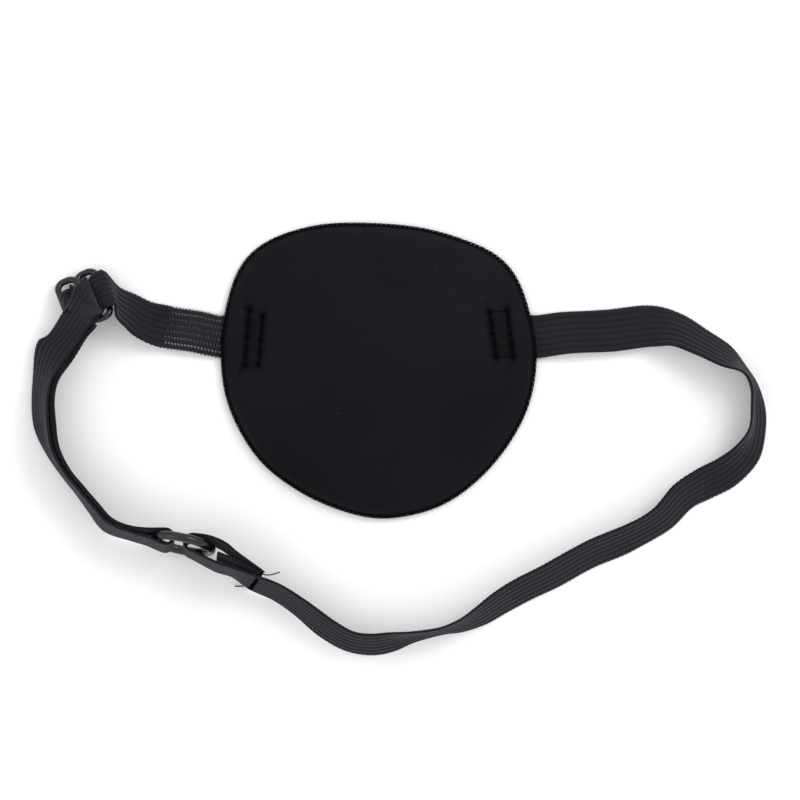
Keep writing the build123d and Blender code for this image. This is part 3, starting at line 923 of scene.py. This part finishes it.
class EYEPATCH_OT_edge(bpy.types.Operator):
    """Overlocked edge round the rim: a bound lip, stitches over it and the two looper threads"""

    bl_idname = "eye_patch.edge"
    bl_label = "Edge"

    def execute(self, context):
        made = finishes()
        angles = np.arange(EDGE_AROUND) * 2 * math.pi / EDGE_AROUND
        reach = outline_reach(angles)
        lip = Shape()
        loops = []
        for share, height in LIP_SECTION:
            x, y = round_pad(share * reach, angles)
            loops.append(over_strap(np.column_stack([x, y, np.full(EDGE_AROUND, height)])))
        lip.add(np.stack(loops, axis=1))
        lip.skin(0, EDGE_AROUND, len(LIP_SECTION), closed=True)
        lip.faces = [corners[::-1] for corners in lip.faces]
        lip_piece = lip.build("edge_lip", made["overlock_thread"])

        fine = np.linspace(0, 2 * math.pi, 1441)
        perimeter = lengths(np.column_stack(round_pad(outline_reach(fine), fine)))
        count = round(perimeter[-1] / (chosen("pad").stitch_pitch / MM))
        rng = np.random.default_rng(SEED)

        def on_edge(position, out, height):
            """A point by its distance round the rim, distance in from the outline and height."""
            turn = np.interp(position % perimeter[-1], perimeter, fine)
            return np.column_stack([*round_pad(outline_reach(turn) - out, turn), height])

        threads = Shape()
        pitch = perimeter[-1] / count
        for i in range(count):
            shift, lean, plump = rng.normal(0, 0.09), rng.normal(1, 0.2), rng.normal(0, 0.03)
            along, inward, height = np.transpose(STITCH_PATH)
            spots = on_edge((i + along * lean) * pitch + shift, inward - plump, height)
            threads.tube(through(over_strap(spots), 0.35), OVERLOCK_RADIUS)
        steps = np.linspace(0, perimeter[-1], count * 5, endpoint=False)
        swing = np.sin(steps / pitch * 2 * math.pi)
        for out, height, sway in LOOPERS:
            looper = over_strap(on_edge(steps, out + sway * swing, height + 0.05 * swing))
            threads.tube(looper, LOOPER_RADIUS, 5, closed=True)
        thread_piece = threads.build("edge_stitches", made["overlock_thread"])
        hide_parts("edge_overlock")
        for piece in (lip_piece, thread_piece):
            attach(piece, "patch")
        return {"FINISHED"}


def surface_height(x, y, layer):
    """Height of one of the pad's surfaces at points in plan, with its relief."""
    dx, dy = x - PAD_CENTRE[0], y - PAD_CENTRE[1]
    share = np.hypot(dx, dy) / outline_reach(np.arctan2(dy, dx))
    shares, heights = dome_section(layer, 0.5)
    return np.interp(share, shares[::-1], heights[::-1]) + relief(x, y, layer)


class EYEPATCH_OT_box_stitches(bpy.types.Operator):
    """The two sewn rectangles that hold the strap to the pad"""

    bl_idname = "eye_patch.box_stitches"
    bl_label = "Box stitches"

    def execute(self, context):
        made = finishes()
        rng = np.random.default_rng(SEED + 1)
        for side, corners in STITCH_BOXES.items():
            threads = Shape()
            for first, last in ((0, 3), (3, 2), (2, 1), (1, 0)):
                start, end = np.array(corners[first]), np.array(corners[last])
                length = np.linalg.norm(end - start)
                count = max(2, round(length / STITCH_LENGTH))
                for i in range(count):
                    low = start + (end - start) * (i + 0.08) / count
                    high = start + (end - start) * (i + 0.92) / count
                    drift = rng.normal(0, 0.07, 2)
                    share = np.linspace(0, 1, 7)[:, None]
                    spots = low + (high - low) * share + drift
                    hop = 0.14 * np.sin(share[:, 0] * math.pi) - 0.16
                    front = surface_height(spots[:, 0], spots[:, 1], COVER_FRONT) + hop
                    threads.tube(np.column_stack([spots, front]), FRONT_STITCH_RADIUS)
                    back = under_tab(spots[:, 0], side) - 0.10 - hop
                    threads.tube(np.column_stack([spots, back]), BACK_STITCH_RADIUS)
            piece = threads.build(f"{side}_stitches", made["twisted_thread"])
            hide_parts(f"{side}_box_stitch")
            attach(piece, "patch")
        return {"FINISHED"}


def under_tab(x, side):
    """Height of the lower face of a sewn strap end."""
    rim = PAD_CENTRE[0] + (-PAD_HALF_WIDTH if side == "left" else PAD_HALF_WIDTH)
    inset = np.abs(x - rim)
    slope = np.array(TAB_SLOPE[::-1])
    return SEAM_Z + np.interp(inset, slope[:, 0], slope[:, 1]) - STRAP_HALF_THICK


class EYEPATCH_OT_left_strap(bpy.types.Operator):
    """The left length of elastic: sewn end, short run, slider, doubled run, ring and back"""

    bl_idname = "eye_patch.left_strap"
    bl_label = "Left strap"

    def execute(self, context):
        rows = rows_of(LEFT_STRAP)
        cut = int(np.argmin(np.linalg.norm(rows[:, :3] - np.array(SHORT_END), axis=1)))

        def pulled_open(centre):
            share = np.clip(1.8 * bell(centre[:, 0] - OPEN_MIDDLE, OPEN_REACH), 0, 1)
            return share * (centre[:, 0] < OPEN_LIMIT)

        short = strap_piece("left_short_strap", rows[: cut + 1], opened=pulled_open)
        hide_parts("left_strap_tab", "left_strap_short")
        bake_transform(short)
        looped = strap_piece("left_looped_strap", rows[cut:], cut * STRAP_STEP)
        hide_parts("left_strap_adjusting", "slider_end_strap")
        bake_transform(looped)
        return {"FINISHED"}


class EYEPATCH_OT_right_strap(bpy.types.Operator):
    """The right length of elastic: sewn end, long run, ring and its turned-under cut end"""

    bl_idname = "eye_patch.right_strap"
    bl_label = "Right strap"

    def execute(self, context):
        rows = rows_of(RIGHT_STRAP)
        long_piece = strap_piece("right_long_strap", rows)
        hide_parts("right_strap_tab", "right_strap", "right_strap_loop")
        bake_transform(long_piece)
        tucked = strap_piece("tucked_cut_end", rows_of(TURNED_UNDER))
        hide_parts("turned_under_end")
        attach(tucked, "strap")
        return {"FINISHED"}


class EYEPATCH_OT_tacks(bpy.types.Operator):
    """The rows of stitches that close the strap's loops, and the loose thread ends"""

    bl_idname = "eye_patch.tacks"
    bl_label = "Tacks"

    def execute(self, context):
        made = finishes()
        seam = crossing(CROSSING_LAYER / 2)
        way = (seam[0][0] - seam[1][0]).normalized()
        slider_seam = (seam[1][0] + way * 1.2, seam[1][1])
        for name, station, along, layers, node, body in (
            ("ring_bar_tack", seam_layer(0), TACK_WAY, 3, "ring_end_tack", "strap"),
            ("slider_bar_tack", slider_seam, way, 2, "slider_end_tack", "slider"),
        ):
            centre, across = station
            across = across.normalized()
            face = along.cross(across).normalized()
            threads = Shape()
            proud = layers * 0.5 - 0.10
            for sign in (1, -1):
                spots = []
                for i in range(TACK_PASSES * 2 + 1):
                    reach = (i / (2 * TACK_PASSES) - 0.5) * TACK_LENGTH
                    sway = TACK_SWAY if i % 2 else -TACK_SWAY
                    spots.append(centre + across * reach + along * sway + face * sign * proud)
                threads.tube(through(spots, 0.35), TACK_RADIUS)
            for edge in (-TACK_LENGTH / 2, TACK_LENGTH / 2):
                inner, outer = centre + across * edge, centre + across * (edge + math.copysign(0.5, edge))
                step = along * 0.2 + face * proud * 0.9
                rim = [inner + step, outer + face * 0.4, outer - face * 0.4, inner - step]
                threads.tube(through(rim, 0.3), TACK_EDGE_RADIUS)
            piece = threads.build(name, made["twisted_thread"])
            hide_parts(node)
            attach(piece, body)
        tails = Shape()
        for points in (UPPER_TAIL, LOWER_TAIL):
            tails.tube(through(points, 0.25), TAIL_RADIUS)
        piece = tails.build("loose_thread_ends", made["twisted_thread"])
        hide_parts("thread_tails")
        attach(piece, "strap")
        return {"FINISHED"}


class EYEPATCH_OT_slider(bpy.types.Operator):
    """The moulded slider, with soft joins where its bars meet"""

    bl_idname = "eye_patch.slider"
    bl_label = "Slider"

    def execute(self, context):
        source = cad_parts["strap_slider"]
        piece = bpy.data.objects.new("moulded_slider", source.data.copy())
        context.scene.collection.objects.link(piece)
        piece.data.materials.clear()
        bpy.ops.object.select_all(action="DESELECT")
        piece.select_set(True)
        context.view_layer.objects.active = piece
        bpy.ops.object.mode_set(mode="EDIT")
        bpy.ops.mesh.select_all(action="SELECT")
        bpy.ops.mesh.remove_doubles(threshold=0.000005)
        bpy.ops.object.mode_set(mode="OBJECT")
        remesh = piece.modifiers.new("remesh", "REMESH")
        remesh.mode = "VOXEL"
        remesh.voxel_size = SLIDER_VOXEL * MM
        soften = piece.modifiers.new("soften", "SMOOTH")
        soften.factor = 0.5
        soften.iterations = 8
        for modifier in ("remesh", "soften"):
            bpy.ops.object.modifier_apply(modifier=modifier)
        bpy.ops.object.shade_smooth()
        piece.data.materials.append(finishes()["glossy_plastic"])
        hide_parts("strap_slider")
        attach(piece, "slider")
        return {"FINISHED"}


class EYEPATCH_OT_ring(bpy.types.Operator):
    """The moulded ring, with its faint parting line"""

    bl_idname = "eye_patch.ring"
    bl_label = "Ring"

    def execute(self, context):
        bpy.ops.object.select_all(action="DESELECT")
        bpy.ops.mesh.primitive_torus_add(
            major_radius=RING_RADIUS * MM, minor_radius=RING_SECTION * MM, major_segments=160, minor_segments=40
        )
        piece = context.active_object
        piece.name = "moulded_ring"
        bpy.ops.object.mode_set(mode="EDIT")
        bpy.ops.mesh.select_all(action="DESELECT")
        bpy.ops.object.mode_set(mode="OBJECT")
        outer = (RING_RADIUS + RING_SECTION * 0.999) * MM
        for vertex in piece.data.vertices:
            vertex.select = math.hypot(vertex.co.x, vertex.co.y) > outer
        bpy.ops.object.mode_set(mode="EDIT")
        bpy.ops.transform.resize(value=(1.004, 1.004, 1.0))
        bpy.ops.object.mode_set(mode="OBJECT")
        piece.location = RING_CENTRE * MM
        piece.rotation_euler = Matrix([RING_WAY, RING_UP, RING_AXIS]).transposed().to_euler()
        bpy.ops.object.transform_apply(location=True, rotation=True, scale=True)
        bpy.ops.object.shade_smooth()
        piece.data.materials.append(finishes()["glossy_plastic"])
        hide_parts("strap_ring")
        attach(piece, "ring")
        return {"FINISHED"}


class EYEPATCH_PT_panel(bpy.types.Panel):
    """The eye patch's settings and pieces"""

    bl_idname = "EYEPATCH_PT_panel"
    bl_label = "Eye Patch"
    bl_space_type = "VIEW_3D"
    bl_region_type = "UI"
    bl_category = "Eye Patch"

    def draw(self, context):
        column = self.layout.column()
        for group in SETTINGS:
            values = getattr(context.scene, group)
            for name in values.bl_rna.properties.keys():
                if name not in ("rna_type", "name"):
                    column.prop(values, name)
        for operator in OPERATORS:
            column.operator(operator.bl_idname)


SETTINGS = {
    "eye_patch_pad": PadSettings,
    "eye_patch_strap": StrapSettings,
    "eye_patch_hardware": HardwareSettings,
    "eye_patch_stage": StageSettings,
}
OPERATORS = (
    EYEPATCH_OT_stage, EYEPATCH_OT_pad, EYEPATCH_OT_edge, EYEPATCH_OT_box_stitches, EYEPATCH_OT_left_strap,
    EYEPATCH_OT_right_strap, EYEPATCH_OT_tacks, EYEPATCH_OT_slider, EYEPATCH_OT_ring,
)


def register():
    for group in (*SETTINGS.values(), *OPERATORS, EYEPATCH_PT_panel):
        bpy.utils.register_class(group)
    for name, group in SETTINGS.items():
        setattr(bpy.types.Scene, name, PointerProperty(type=group))


def unregister():
    for name in SETTINGS:
        delattr(bpy.types.Scene, name)
    for group in (EYEPATCH_PT_panel, *reversed(OPERATORS), *reversed(SETTINGS.values())):
        bpy.utils.unregister_class(group)


def main():
    register()
    for operator in OPERATORS:
        getattr(bpy.ops.eye_patch, operator.bl_idname.split(".")[1])()


if __name__ == "__main__":
    main()
